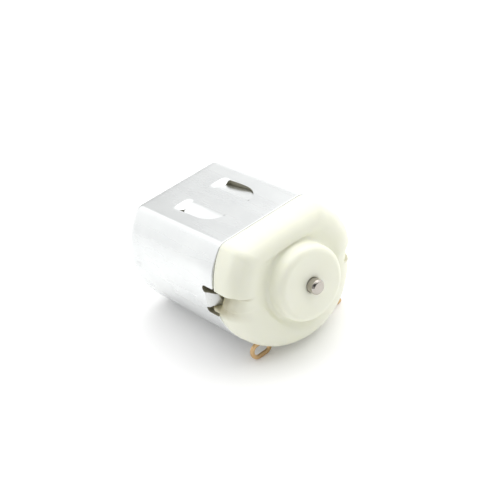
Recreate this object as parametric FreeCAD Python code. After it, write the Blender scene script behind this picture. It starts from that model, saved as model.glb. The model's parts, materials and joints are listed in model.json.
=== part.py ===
import FreeCAD, Part
import math
import os

# A small brushed permanent-magnet motor with a flat-sided round can.
# +X runs along the shaft towards the output end and +Z is up, out of the flat with the two windows.
# The origin is on the shaft axis, on the can's closed front face. All sizes are in millimetres.

# Can: zinc-plated sheet, drawn to a closed front with a pilot boss
CAN_RADIUS = 10.05
CAN_HALF_HEIGHT = 7.55
CORNER_BEND = 1.2
SMALLEST_BEND = 0.4
CAN_LENGTH = 20.0
SHEET = 0.8
FRONT_ROUND = 0.9
PILOT_RADIUS = 3.075
PILOT_LENGTH = 1.6
PILOT_WALL = 0.45
PILOT_ROUND = 0.25
PILOT_HOLE_RADIUS = 1.5

# Windows in the top flat, each with a lanced tongue that stops a magnet
WINDOW_INNER_Y = 1.9
WINDOW_OUTER_Y = 4.35
WINDOW_FRONT_X = -7.5
WINDOW_CURVE_X = -11.0
WINDOW_REAR_X = -14.6
WINDOW_CORNER = 0.4
WINDOW_BULGE_X = 0.72
WINDOW_BULGE_Y = 0.75
TONGUE_ANGLE = 16.0
TONGUE_GAP = 0.12

# Crimp tabs, one on each round side, bent inward over the end cap
TAB_MIDDLE_Z = 0.57
TAB_HALF_WIDTH = 1.1
SLIT_WIDTH = 0.9
SLIT_LENGTH = 2.15
TAB_LENGTH = 1.5
TAB_ANGLE = 33.0
SLIT_INNER_Y = 7.0

# End cap: moulded plastic, with a round boss that carries the rear bearing bore
CAP_LENGTH = 5.1
CAP_CLEARANCE = 0.05
CAP_EDGE_ROUND = 2.2
CAP_WALL = 1.1
PLUG_LENGTH = 2.4
BOSS_RADIUS = 5.0
BOSS_LENGTH = 2.3
BOSS_ROUND = 0.7
ROOM_ROUND = 0.3
SEAT_RIM = 0.4

# The cap's lower half: deeper than the can and rounder, to cover the terminals
SKIRT_RADIUS = 9.8
SKIRT_DEPTH = 9.4
SKIRT_BEND = 2.5
SKIRT_FLARE = 1.3
SKIRT_SIDE_ROUND = 4.0
SKIRT_BOTTOM_ROUND = 2.5

# Groove behind each crimp tab: a sharp edge, and a floor that slopes outward from it
GROOVE_EDGE_Z = 2.4
GROOVE_FLOOR_Y = 8.5
GROOVE_FAR_Z = -1.6
GROOVE_RISE = 0.9
TAB_ROOM_DEPTH = 1.95
TAB_ROOM_END = 0.7

# Shaft and bearings
SHAFT_RADIUS = 1.0
SHAFT_FRONT_X = 9.4
SHAFT_REAR_X = -28.6
SHAFT_CHAMFER = 0.15
OIL_GROOVE_X = 1.7
OIL_GROOVE_WIDTH = 0.6
OIL_GROOVE_DEPTH = 0.17
RUNNING_CLEARANCE = 0.03
BEARING_RADIUS = 2.3
BEARING_LENGTH = 2.0

# Magnets and the spring that spreads them
MAGNET_INNER_RADIUS = 6.7
MAGNET_FRONT_X = -2.9
MAGNET_REAR_X = -16.4
MAGNET_HALF_ANGLE = 43.0
MAGNET_GAP = 0.02
SPRING_WIRE_RADIUS = 0.4
SPRING_BEND = 1.2
SPRING_LEG_Y = 5.6
SPRING_FRONT_X = -1.9
SPRING_REAR_X = -13.0

# Three-pole rotor core
POLE_COUNT = 3
CORE_RADIUS = 6.3
CORE_FRONT_X = -4.7
SHEET_COUNT = 16
CORE_SHEET = 0.5
VARNISH_GAP = 0.02
HUB_RADIUS = 2.3
POLE_HALF_NECK = 1.05
NECK_OVERLAP = 0.4
SHOE_THICKNESS = 1.0
SLOT_HALF_ANGLE = 8.5
INSULATOR_SHEET = 0.35
INSULATOR_INSET = 0.12
WINDING_OVERHANG = 1.5
WINDING_THICKNESS = 1.2
WINDING_ROUND = 1.08
WINDING_GAP = 0.06

# Commutator
COMMUTATOR_RADIUS = 2.4
SEGMENT_THICKNESS = 0.35
SEGMENT_FRONT_X = -17.0
SEGMENT_REAR_X = -22.2
SEGMENT_GAP_ANGLE = 7.0
BARREL_FRONT_X = -15.2
BARREL_REAR_X = -22.6
COLLAR_RADIUS = 2.6
COLLAR_FRONT_X = -15.5
COLLAR_REAR_X = -16.9
TANG_ROOT_RADIUS = 2.15
TANG_HEIGHT = 0.9
TANG_WIDTH = 1.0
CLAMP_RING_WIDTH = 0.7
CLAMP_RING_THICKNESS = 0.35

# Spacer and thrust washers
WASHER_THICKNESS = 0.25
WASHER_RADIUS = 2.0
SPACER_RADIUS = 1.7
AXIAL_PLAY = 0.12

# Brushes, their spring arms, and the terminals
BRUSH_X = -19.7
BRUSH_HALF_WIDTH = 0.85
BRUSH_HALF_HEIGHT = 0.8
BRUSH_INNER_Y = 0.5
BRUSH_CLEARANCE = 0.03
ARM_Y = 3.7
ARM_SHEET = 0.2
ARM_HALF_WIDTH = 1.0
ARM_ROOT_Z = -5.2
ARM_ROOT_GAP = 0.02
ARM_TOP_Z = 2.4
TERMINAL_X = -21.0
TERMINAL_SHEET = 0.4
EYE_Y = 6.6
EYE_STRETCH = 1.1
EYE_Z = -8.6
EYE_RADIUS = 1.15
EYE_HOLE = 0.62
TERMINAL_BRIDGE_Z = -6.1
TERMINAL_BRIDGE_HEIGHT = 1.3

AXIS_X = FreeCAD.Vector(1, 0, 0)
AXIS_Y = FreeCAD.Vector(0, 1, 0)
ORIGIN = FreeCAD.Vector(0, 0, 0)
OVERCUT = 1.0
FAR_OUT = 20.0
FLAT_TOLERANCE = 1e-4
HALF_TURN = 180


def point(x, y, z):
    return FreeCAD.Vector(x, y, z)


def rod(radius, start_x, end_x):
    """A solid cylinder on the shaft axis."""
    return Part.makeCylinder(radius, end_x - start_x, point(start_x, 0, 0), AXIS_X)


def ring(outer, inner, start_x, end_x):
    """A tube on the shaft axis."""
    hole = rod(inner, start_x - OVERCUT, end_x + OVERCUT)
    return rod(outer, start_x, end_x).cut(hole)


def block(start_x, end_x, start_y, end_y, start_z, end_z):
    size = (end_x - start_x, end_y - start_y, end_z - start_z)
    return Part.makeBox(*size, point(start_x, start_y, start_z))


def prism_along_x(outline, start_x, end_x):
    """Extrude a closed (y, z) polygon along X."""
    corners = [point(start_x, y, z) for y, z in outline]
    face = Part.Face(Part.makePolygon(corners + corners[:1]))
    return face.extrude(point(end_x - start_x, 0, 0))


def wedge(half_angle, start_x, end_x, apex_y=0.0):
    """A sector about the +Y direction, wider than the motor, for trimming rings to length."""
    out_y = FAR_OUT * math.cos(half_angle)
    out_z = FAR_OUT * math.sin(half_angle)
    outline = [(apex_y, 0), (out_y, -out_z), (FAR_OUT, 0), (out_y, out_z)]
    return prism_along_x(outline, start_x, end_x)


def pole_turns():
    """The angle of each pole from +Y, the first one pointing up."""
    return [90 + pole * 360 / POLE_COUNT for pole in range(POLE_COUNT)]


def spun(shape, angle):
    """A copy turned about the shaft axis."""
    copy = shape.copy()
    copy.rotate(ORIGIN, AXIS_X, angle)
    return copy


def other_side(shape):
    """The mirror image across the middle plane, y = 0."""
    return shape.mirror(ORIGIN, AXIS_Y)


def edges_at_x(shape, x):
    """The edges that lie wholly in one plane across the shaft axis."""
    flat = []
    for edge in shape.Edges:
        span = edge.BoundBox
        if abs(span.XMin - x) < FLAT_TOLERANCE and abs(span.XMax - x) < FLAT_TOLERANCE:
            flat.append(edge)
    return flat


def flat_sided_section(x, radius, height, bend):
    """Two flats and two arcs about the shaft, joined by bends."""
    bend_z = height - bend
    bend_y = math.sqrt((radius - bend) ** 2 - bend_z ** 2)
    reach = radius / (radius - bend)
    middle = math.radians(90 + math.degrees(math.atan2(bend_z, bend_y))) / 2
    middle_y = bend_y + bend * math.cos(middle)
    middle_z = bend_z + bend * math.sin(middle)

    def corner(side_y, side_z, flat_first):
        flat_end = point(x, side_y * bend_y, side_z * height)
        arc_end = point(x, side_y * bend_y * reach, side_z * bend_z * reach)
        through = point(x, side_y * middle_y, side_z * middle_z)
        ends = (flat_end, arc_end) if flat_first else (arc_end, flat_end)
        return Part.Arc(ends[0], through, ends[1]).toShape()

    def flat(side_z):
        start = point(x, -side_z * bend_y, side_z * height)
        end = point(x, side_z * bend_y, side_z * height)
        return Part.LineSegment(start, end).toShape()

    def side(side_y):
        start = point(x, side_y * bend_y * reach, side_y * bend_z * reach)
        end = point(x, side_y * bend_y * reach, -side_y * bend_z * reach)
        return Part.Arc(start, point(x, side_y * radius, 0), end).toShape()

    return Part.Wire([
        flat(1), corner(1, 1, True), side(1), corner(1, -1, False),
        flat(-1), corner(-1, -1, True), side(-1), corner(-1, 1, False),
    ])


def motor_section(x, grow=0.0):
    """The can's outline, or one offset from it."""
    bend = max(CORNER_BEND + grow, SMALLEST_BEND)
    return flat_sided_section(x, CAN_RADIUS + grow, CAN_HALF_HEIGHT + grow, bend)


def motor_prism(start_x, end_x, grow=0.0):
    """A solid of the motor's outline between two planes."""
    face = Part.Face(motor_section(start_x, grow))
    return face.extrude(point(end_x - start_x, 0, 0))


def window_outline(front_x, rear_x, outer_y, fall=0.0):
    """A D on the +Y side of the top flat, its straight edge inward, tilted down by fall per mm."""
    bend = WINDOW_CORNER
    slant = bend * (1 - math.sqrt(0.5))
    curve_x = WINDOW_CURVE_X + (rear_x - WINDOW_CURVE_X) * WINDOW_BULGE_X
    curve_y = WINDOW_INNER_Y + (outer_y - WINDOW_INNER_Y) * WINDOW_BULGE_Y

    def on_flat(x, y):
        return point(x, y, CAN_HALF_HEIGHT - fall * (y - WINDOW_INNER_Y))

    inner_front = on_flat(front_x, WINDOW_INNER_Y)
    corner_start = on_flat(front_x, outer_y - bend)
    corner_middle = on_flat(front_x - slant, outer_y - slant)
    corner_end = on_flat(front_x - bend, outer_y)
    curve_start = on_flat(WINDOW_CURVE_X, outer_y)
    curve_middle = on_flat(curve_x, curve_y)
    inner_rear = on_flat(rear_x, WINDOW_INNER_Y)
    return Part.Face(Part.Wire([
        Part.LineSegment(inner_front, corner_start).toShape(),
        Part.Arc(corner_start, corner_middle, corner_end).toShape(),
        Part.LineSegment(corner_end, curve_start).toShape(),
        Part.Arc(curve_start, curve_middle, inner_rear).toShape(),
        Part.LineSegment(inner_rear, inner_front).toShape(),
    ]))


def make_window_cut():
    outline = window_outline(WINDOW_FRONT_X, WINDOW_REAR_X, WINDOW_OUTER_Y)
    cut = outline.extrude(point(0, 0, -3 * SHEET))
    cut.translate(point(0, 0, SHEET))
    return cut


def make_tongue():
    """The sheet inside the window, bent down about its straight inner edge."""
    bent = math.radians(TONGUE_ANGLE)
    width = (WINDOW_OUTER_Y - WINDOW_INNER_Y) * math.cos(bent)
    outline = window_outline(
        WINDOW_FRONT_X - TONGUE_GAP, WINDOW_REAR_X + TONGUE_GAP,
        WINDOW_INNER_Y + width, math.tan(bent))
    return outline.extrude(point(0, 0, -SHEET))


def tab_root_x():
    return SLIT_LENGTH - CAN_LENGTH - SLIT_WIDTH / 2


def make_tab_cut():
    """Room for the tab and a round-ended slit on each side of it, through the +Y wall."""
    half_slit = SLIT_WIDTH / 2
    half_room = TAB_HALF_WIDTH + SLIT_WIDTH
    cut = block(
        -CAN_LENGTH - OVERCUT, tab_root_x(), SLIT_INNER_Y, CAN_RADIUS + OVERCUT,
        TAB_MIDDLE_Z - half_room, TAB_MIDDLE_Z + half_room)
    depth = CAN_RADIUS + OVERCUT - SLIT_INNER_Y
    for side in (-1, 1):
        middle_z = TAB_MIDDLE_Z + side * (TAB_HALF_WIDTH + half_slit)
        end_place = point(tab_root_x(), SLIT_INNER_Y, middle_z)
        end = Part.makeCylinder(half_slit, depth, end_place, AXIS_Y)
        cut = cut.fuse(end)
    return cut


def make_tab():
    """The strip between the two slits, bent in over the end cap."""
    x = tab_root_x()
    low = TAB_MIDDLE_Z - TAB_HALF_WIDTH
    high = TAB_MIDDLE_Z + TAB_HALF_WIDTH

    def on_wall(radius, z):
        return point(x, math.sqrt(radius ** 2 - z ** 2), z)

    outer = CAN_RADIUS
    inner = CAN_RADIUS - SHEET
    root = Part.Face(Part.Wire([
        Part.Arc(on_wall(outer, low), on_wall(outer, TAB_MIDDLE_Z), on_wall(outer, high)).toShape(),
        Part.LineSegment(on_wall(outer, high), on_wall(inner, high)).toShape(),
        Part.Arc(on_wall(inner, high), on_wall(inner, TAB_MIDDLE_Z), on_wall(inner, low)).toShape(),
        Part.LineSegment(on_wall(inner, low), on_wall(outer, low)).toShape(),
    ]))
    return root.extrude(point(-TAB_LENGTH, -TAB_LENGTH * math.tan(math.radians(TAB_ANGLE)), 0))


def make_motor_can():
    shell = motor_prism(-CAN_LENGTH, 0)
    shell = shell.makeFillet(FRONT_ROUND, edges_at_x(shell, 0))
    hollow = motor_prism(-CAN_LENGTH - OVERCUT, -SHEET, -SHEET)
    shell = shell.fuse(rod(PILOT_RADIUS, -SHEET, PILOT_LENGTH))
    shell = shell.makeFillet(PILOT_ROUND, edges_at_x(shell, PILOT_LENGTH))
    shell = shell.cut(hollow)
    shell = shell.cut(rod(BEARING_RADIUS, -SHEET - OVERCUT, PILOT_LENGTH - PILOT_WALL))
    shell = shell.cut(rod(PILOT_HOLE_RADIUS, -OVERCUT, PILOT_LENGTH + OVERCUT))
    window = make_window_cut()
    tab_room = make_tab_cut()
    for cut in (window, other_side(window), tab_room, spun(tab_room, HALF_TURN)):
        shell = shell.cut(cut)
    tongue = make_tongue()
    tab = make_tab()
    for addition in (tongue, other_side(tongue), tab, spun(tab, HALF_TURN)):
        shell = shell.fuse(addition)
    return shell.removeSplitter()


def make_front_bearing():
    start_x = PILOT_LENGTH - PILOT_WALL - BEARING_LENGTH
    return ring(BEARING_RADIUS, SHAFT_RADIUS + RUNNING_CLEARANCE, start_x, start_x + BEARING_LENGTH)


def make_skirt():
    """The cap's lower half, which drops away from the can's flat just behind the seam."""
    rear_x = -CAN_LENGTH - CAP_LENGTH
    seam_x = -CAN_LENGTH - CAP_CLEARANCE
    full_x = seam_x - SKIRT_FLARE
    seam = flat_sided_section(seam_x, SKIRT_RADIUS, CAN_HALF_HEIGHT, CORNER_BEND)
    full = flat_sided_section(full_x, SKIRT_RADIUS, SKIRT_DEPTH, SKIRT_BEND)
    flare = Part.makeLoft([seam, full], True, True)
    straight = Part.Face(full).extrude(point(rear_x - full_x, 0, 0))
    half = block(rear_x, 0, -SKIRT_RADIUS, SKIRT_RADIUS, -SKIRT_DEPTH, 0)
    rear = edges_at_x(half, rear_x)
    sides = [edge for edge in rear if edge.BoundBox.ZLength > SKIRT_DEPTH / 2]
    bottom = [edge for edge in rear if edge.BoundBox.ZMax < -SKIRT_DEPTH / 2]
    rounded_sides = half.makeFillet(SKIRT_SIDE_ROUND, sides)
    rounded_bottom = half.makeFillet(SKIRT_BOTTOM_ROUND, bottom)
    return flare.fuse(straight).common(rounded_sides).common(rounded_bottom)


def make_groove():
    """The +Y groove: a level edge, and a floor that slopes out and gets shallower to the rear."""
    out_y = CAN_RADIUS + OVERCUT
    slope = (GROOVE_EDGE_Z - GROOVE_FAR_Z) / (CAN_RADIUS - GROOVE_FLOOR_Y)
    low_z = GROOVE_EDGE_Z - slope * (out_y - GROOVE_FLOOR_Y)
    outline = ((GROOVE_FLOOR_Y, GROOVE_EDGE_Z), (out_y, GROOVE_EDGE_Z), (out_y, low_z))
    depth = CAN_RADIUS - GROOVE_FLOOR_Y
    wires = []
    for x, out, up in ((OVERCUT, 0, 0), (-CAP_LENGTH - OVERCUT, depth, GROOVE_RISE)):
        corners = [point(x - CAN_LENGTH, y + out, z + up) for y, z in outline]
        wires.append(Part.makePolygon(corners + corners[:1]))
    return Part.makeLoft(wires, True, True)


def make_end_cap():
    rear_x = -CAN_LENGTH - CAP_LENGTH
    seam_x = -CAN_LENGTH - CAP_CLEARANCE
    body = motor_prism(rear_x, seam_x, -CAP_CLEARANCE)
    body = body.makeFillet(CAP_EDGE_ROUND, edges_at_x(body, rear_x))
    body = body.common(block(rear_x, 0, -CAN_RADIUS, CAN_RADIUS, 0, CAN_RADIUS))
    body = body.fuse(make_skirt())
    groove = make_groove()
    tab_room = block(
        -CAN_LENGTH - TAB_ROOM_END, 0, CAN_RADIUS - TAB_ROOM_DEPTH, CAN_RADIUS + OVERCUT,
        TAB_MIDDLE_Z - TAB_HALF_WIDTH - SLIT_WIDTH, TAB_MIDDLE_Z + TAB_HALF_WIDTH + CAP_CLEARANCE)
    for cut in (groove, spun(groove, HALF_TURN)):
        body = body.cut(cut)
    boss = rod(BOSS_RADIUS, rear_x - BOSS_LENGTH, rear_x + CAP_WALL)
    boss = boss.makeFillet(BOSS_ROUND, edges_at_x(boss, rear_x - BOSS_LENGTH))
    body = body.fuse(boss)
    plug = motor_prism(seam_x, seam_x + PLUG_LENGTH, -SHEET - CAP_CLEARANCE)
    body = body.fuse(plug)
    room = motor_prism(rear_x + CAP_WALL, seam_x + PLUG_LENGTH + OVERCUT, -SHEET - CAP_WALL)
    room = room.makeFillet(ROOM_ROUND, edges_at_x(room, rear_x + CAP_WALL))
    body = body.cut(room)
    for cut in (tab_room, spun(tab_room, HALF_TURN)):
        body = body.cut(cut)
    seat_x = BARREL_REAR_X - WASHER_THICKNESS - AXIAL_PLAY
    body = body.fuse(rod(WASHER_RADIUS + SEAT_RIM, rear_x, seat_x))
    body = body.cut(rod(SHAFT_RADIUS + RUNNING_CLEARANCE, rear_x - BOSS_LENGTH - OVERCUT, 0))
    for terminal in (make_terminal(), other_side(make_terminal())):
        body = body.cut(terminal)
    return body.removeSplitter()


def make_magnet():
    """One arc magnet on the +Y side, lying in the can's round wall."""
    outer = CAN_RADIUS - SHEET - MAGNET_GAP
    arc = ring(outer, MAGNET_INNER_RADIUS, MAGNET_REAR_X, MAGNET_FRONT_X)
    return arc.common(wedge(math.radians(MAGNET_HALF_ANGLE), MAGNET_REAR_X, MAGNET_FRONT_X))


def make_magnet_spring():
    """A wire hairpin on the bottom flat, its legs against the magnets' lower edges."""
    level = -CAN_HALF_HEIGHT + SHEET + SPRING_WIRE_RADIUS
    bend = SPRING_BEND
    slant = bend * (1 - math.sqrt(0.5))
    edges = [
        Part.LineSegment(
            point(SPRING_REAR_X, SPRING_LEG_Y, level),
            point(SPRING_FRONT_X - bend, SPRING_LEG_Y, level)),
        Part.Arc(
            point(SPRING_FRONT_X - bend, SPRING_LEG_Y, level),
            point(SPRING_FRONT_X - slant, SPRING_LEG_Y - slant, level),
            point(SPRING_FRONT_X, SPRING_LEG_Y - bend, level)),
        Part.LineSegment(
            point(SPRING_FRONT_X, SPRING_LEG_Y - bend, level),
            point(SPRING_FRONT_X, bend - SPRING_LEG_Y, level)),
        Part.Arc(
            point(SPRING_FRONT_X, bend - SPRING_LEG_Y, level),
            point(SPRING_FRONT_X - slant, slant - SPRING_LEG_Y, level),
            point(SPRING_FRONT_X - bend, -SPRING_LEG_Y, level)),
        Part.LineSegment(
            point(SPRING_FRONT_X - bend, -SPRING_LEG_Y, level),
            point(SPRING_REAR_X, -SPRING_LEG_Y, level)),
    ]
    path = Part.Wire([edge.toShape() for edge in edges])
    start = Part.Circle(point(SPRING_REAR_X, SPRING_LEG_Y, level), AXIS_X, SPRING_WIRE_RADIUS)
    section = Part.Wire([start.toShape()])
    return path.makePipeShell([section], True, False)


def make_shaft():
    shaft = rod(SHAFT_RADIUS, SHAFT_REAR_X, SHAFT_FRONT_X)
    ends = edges_at_x(shaft, SHAFT_REAR_X) + edges_at_x(shaft, SHAFT_FRONT_X)
    shaft = shaft.makeChamfer(SHAFT_CHAMFER, ends)
    groove = ring(
        SHAFT_RADIUS + OVERCUT, SHAFT_RADIUS - OIL_GROOVE_DEPTH,
        OIL_GROOVE_X, OIL_GROOVE_X + OIL_GROOVE_WIDTH)
    return shaft.cut(groove)


def pole_star(start_x, end_x, shrink=0.0):
    """Hub, three necks and three shoes, as in one sheet of the core."""
    star = ring(HUB_RADIUS - shrink, SHAFT_RADIUS, start_x, end_x)
    shoes = ring(CORE_RADIUS - shrink, CORE_RADIUS - SHOE_THICKNESS + shrink, start_x, end_x)
    half_neck = POLE_HALF_NECK - shrink
    shoe = shoes.common(wedge(math.radians(180 / POLE_COUNT - SLOT_HALF_ANGLE), start_x, end_x))
    neck = block(
        start_x, end_x, HUB_RADIUS - NECK_OVERLAP, CORE_RADIUS - NECK_OVERLAP, -half_neck, half_neck)
    for turn in pole_turns():
        star = star.fuse(spun(neck, turn))
        star = star.fuse(spun(shoe, turn))
    return star.removeSplitter()


def make_core_sheets():
    one = pole_star(CORE_FRONT_X - CORE_SHEET + VARNISH_GAP, CORE_FRONT_X)
    sheets = []
    for index in range(SHEET_COUNT):
        sheet = one.copy()
        sheet.translate(point(-index * CORE_SHEET, 0, 0))
        sheets.append(sheet)
    return Part.makeCompound(sheets)


def core_rear_x():
    return CORE_FRONT_X - SHEET_COUNT * CORE_SHEET


def make_core_insulator(near_x, outward):
    """A thin moulded star over one end of the core."""
    far_x = near_x + outward * INSULATOR_SHEET
    return pole_star(min(near_x, far_x), max(near_x, far_x), INSULATOR_INSET)


def make_winding():
    """Wire wound round one pole's neck, as a rounded frame that fills the slots beside it."""
    front_x = CORE_FRONT_X + INSULATOR_SHEET
    rear_x = core_rear_x() - INSULATOR_SHEET
    outer = CORE_RADIUS - SHOE_THICKNESS - WINDING_GAP
    half_neck = POLE_HALF_NECK + WINDING_GAP
    half_width = POLE_HALF_NECK + WINDING_THICKNESS
    coil = block(
        rear_x - WINDING_OVERHANG, front_x + WINDING_OVERHANG, HUB_RADIUS + WINDING_GAP, outer,
        -half_width, half_width)
    upright = [
        edge for edge in coil.Edges
        if edge.BoundBox.YLength > FLAT_TOLERANCE and edge.BoundBox.XLength < FLAT_TOLERANCE
        and edge.BoundBox.ZLength < FLAT_TOLERANCE]
    coil = coil.makeFillet(WINDING_ROUND, upright)
    coil = coil.cut(block(rear_x, front_x, 0, FAR_OUT, -half_neck, half_neck))
    half = math.radians(180 / POLE_COUNT) - math.asin(WINDING_GAP / HUB_RADIUS)
    reach = WINDING_OVERHANG + OVERCUT
    sector = wedge(half, rear_x - reach, front_x + reach, WINDING_GAP / math.sin(half))
    shell = ring(outer, HUB_RADIUS + WINDING_GAP, rear_x - reach, front_x + reach)
    return coil.common(sector).common(shell)


def make_commutator_barrel():
    """The moulded tube that carries the segments and keys onto the shaft."""
    inner_radius = COMMUTATOR_RADIUS - SEGMENT_THICKNESS
    barrel = ring(inner_radius, SHAFT_RADIUS, BARREL_REAR_X, BARREL_FRONT_X)
    collar = ring(COLLAR_RADIUS, SHAFT_RADIUS, COLLAR_REAR_X, COLLAR_FRONT_X)
    return barrel.fuse(collar).removeSplitter()


def make_segment():
    """One copper segment with the tang that holds its winding's end."""
    inner_radius = COMMUTATOR_RADIUS - SEGMENT_THICKNESS
    skin = ring(COMMUTATOR_RADIUS, inner_radius, SEGMENT_REAR_X, SEGMENT_FRONT_X)
    half = math.radians(180 / POLE_COUNT - SEGMENT_GAP_ANGLE / 2)
    sector = wedge(half, SEGMENT_REAR_X, SEGMENT_FRONT_X)
    tang = block(
        SEGMENT_FRONT_X - SEGMENT_THICKNESS, SEGMENT_FRONT_X,
        TANG_ROOT_RADIUS, COMMUTATOR_RADIUS + TANG_HEIGHT, -TANG_WIDTH / 2, TANG_WIDTH / 2)
    return skin.common(sector).fuse(tang).removeSplitter()


def make_clamp_ring():
    outer = COMMUTATOR_RADIUS + CLAMP_RING_THICKNESS
    start_x = SEGMENT_REAR_X
    return ring(outer, COMMUTATOR_RADIUS, start_x, start_x + CLAMP_RING_WIDTH)


def make_thrust_washer(start_x):
    return ring(WASHER_RADIUS, SHAFT_RADIUS, start_x, start_x + WASHER_THICKNESS)


def make_spacer():
    start_x = CORE_FRONT_X + INSULATOR_SHEET
    return ring(SPACER_RADIUS, SHAFT_RADIUS, start_x, front_washer_x())


def front_washer_x():
    bearing_face_x = PILOT_LENGTH - PILOT_WALL - BEARING_LENGTH
    return bearing_face_x - AXIAL_PLAY - WASHER_THICKNESS


def make_brush():
    """A carbon block on the +Y side, its inner face bedded to the commutator."""
    block_shape = block(
        BRUSH_X - BRUSH_HALF_WIDTH, BRUSH_X + BRUSH_HALF_WIDTH, BRUSH_INNER_Y, ARM_Y,
        -BRUSH_HALF_HEIGHT, BRUSH_HALF_HEIGHT)
    bedding = rod(
        COMMUTATOR_RADIUS + BRUSH_CLEARANCE, BRUSH_X - BRUSH_HALF_WIDTH - OVERCUT,
        BRUSH_X + BRUSH_HALF_WIDTH + OVERCUT)
    return block_shape.cut(bedding)


def make_brush_arm():
    """A leaf spring standing up beside the commutator, rounded at its free end."""
    straight_z = ARM_TOP_Z - ARM_HALF_WIDTH
    leaf = block(
        BRUSH_X - ARM_HALF_WIDTH, BRUSH_X + ARM_HALF_WIDTH, ARM_Y, ARM_Y + ARM_SHEET,
        ARM_ROOT_Z, straight_z)
    tip = Part.makeCylinder(ARM_HALF_WIDTH, ARM_SHEET, point(BRUSH_X, ARM_Y, straight_z), AXIS_Y)
    return leaf.fuse(tip).removeSplitter()


def eye_outline(start_x, length, radius):
    """A flat loop with round ends, lying across the motor."""
    inner_y = EYE_Y - EYE_STRETCH
    middle = block(start_x, start_x + length, inner_y, EYE_Y, EYE_Z - radius, EYE_Z + radius)
    for end_y in (inner_y, EYE_Y):
        end = Part.makeCylinder(radius, length, point(start_x, end_y, EYE_Z), AXIS_X)
        middle = middle.fuse(end)
    return middle.removeSplitter()


def make_terminal():
    """A stamped strip: a solder eye below the cap, a bridge inside it, and a flag for the arm."""
    start_x = TERMINAL_X - TERMINAL_SHEET / 2
    end_x = TERMINAL_X + TERMINAL_SHEET / 2
    stem_top_z = TERMINAL_BRIDGE_Z + TERMINAL_BRIDGE_HEIGHT
    stem = block(start_x, end_x, EYE_Y - EYE_STRETCH, EYE_Y, EYE_Z + EYE_HOLE, stem_top_z)
    hole = eye_outline(start_x - OVERCUT, TERMINAL_SHEET + 2 * OVERCUT, EYE_HOLE)
    bridge = block(start_x, end_x, ARM_Y, EYE_Y, TERMINAL_BRIDGE_Z, stem_top_z)
    flag = block(
        start_x, BRUSH_X + ARM_HALF_WIDTH, ARM_Y, ARM_Y + TERMINAL_SHEET,
        TERMINAL_BRIDGE_Z, ARM_ROOT_Z - ARM_ROOT_GAP)
    strip = eye_outline(start_x, TERMINAL_SHEET, EYE_RADIUS)
    for piece in (stem, bridge, flag):
        strip = strip.fuse(piece)
    return strip.cut(hole).removeSplitter()


def collect_parts():
    magnet = make_magnet()
    brush = make_brush()
    arm = make_brush_arm()
    terminal = make_terminal()
    parts = {
        "motor_can": make_motor_can(),
        "front_bearing": make_front_bearing(),
        "magnet_left": magnet,
        "magnet_right": other_side(magnet),
        "magnet_spring": make_magnet_spring(),
        "end_cap": make_end_cap(),
        "terminal_left": terminal,
        "terminal_right": other_side(terminal),
        "brush_arm_left": arm,
        "brush_arm_right": other_side(arm),
        "brush_left": brush,
        "brush_right": other_side(brush),
        "shaft": make_shaft(),
        "core_sheets": make_core_sheets(),
        "core_insulator_front": make_core_insulator(CORE_FRONT_X, 1),
        "core_insulator_rear": make_core_insulator(core_rear_x() + VARNISH_GAP, -1),
        "commutator_barrel": make_commutator_barrel(),
        "commutator_clamp_ring": make_clamp_ring(),
        "front_spacer": make_spacer(),
        "thrust_washer_front": make_thrust_washer(front_washer_x()),
        "thrust_washer_rear": make_thrust_washer(BARREL_REAR_X - WASHER_THICKNESS),
    }
    winding = make_winding()
    segment = make_segment()
    for number, turn in enumerate(pole_turns(), 1):
        parts["winding_" + str(number)] = spun(winding, turn)
        parts["commutator_segment_" + str(number)] = spun(segment, turn + 180 / POLE_COUNT)
    return parts


def main():
    os.makedirs("parts", exist_ok=True)
    for name, shape in collect_parts().items():
        shape.exportStep("parts/" + name + ".step")
        print(name, len(shape.Solids), round(shape.Volume, 2), shape.isValid())


main()
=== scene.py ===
import json
import math

import bmesh
import bpy
from mathutils import Matrix, Vector


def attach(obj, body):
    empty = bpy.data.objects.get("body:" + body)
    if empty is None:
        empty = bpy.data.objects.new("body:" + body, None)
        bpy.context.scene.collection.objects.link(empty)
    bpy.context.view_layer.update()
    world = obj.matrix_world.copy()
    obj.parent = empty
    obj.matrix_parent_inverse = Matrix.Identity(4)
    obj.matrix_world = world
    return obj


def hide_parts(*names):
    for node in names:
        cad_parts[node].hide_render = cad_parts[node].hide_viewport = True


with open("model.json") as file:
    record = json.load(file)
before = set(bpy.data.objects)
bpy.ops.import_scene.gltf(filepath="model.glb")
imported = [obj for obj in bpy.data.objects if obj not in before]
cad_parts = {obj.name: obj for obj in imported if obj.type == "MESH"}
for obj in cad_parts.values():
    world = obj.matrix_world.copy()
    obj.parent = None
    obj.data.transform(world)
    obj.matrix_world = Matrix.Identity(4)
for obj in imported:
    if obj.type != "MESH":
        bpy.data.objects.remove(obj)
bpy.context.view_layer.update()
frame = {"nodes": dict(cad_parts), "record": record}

MM = 0.001

# Camera, at the photograph's viewing angle
CAMERA_PLACE = Vector((-0.13262, 0.06836, 0.07994))
CAMERA_DOWN = math.radians(30.09)
CAMERA_HEADING = math.radians(-30.16)
CAMERA_ROLL = math.radians(16.38)
CAMERA_LENS = 86.84

# Can
CAN_RADIUS = 10.05
CAN_HEIGHT = 7.55
CAN_BEND = 1.6
CAN_LENGTH = 20.0
SHEET = 0.8
INSIDE_BEND = 0.2
FRONT_ROUND = 1.7
FACE_BEND = 0.45
PILOT_RADIUS = 3.075
PILOT_LENGTH = 1.6
PILOT_EDGE = 0.25
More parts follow.
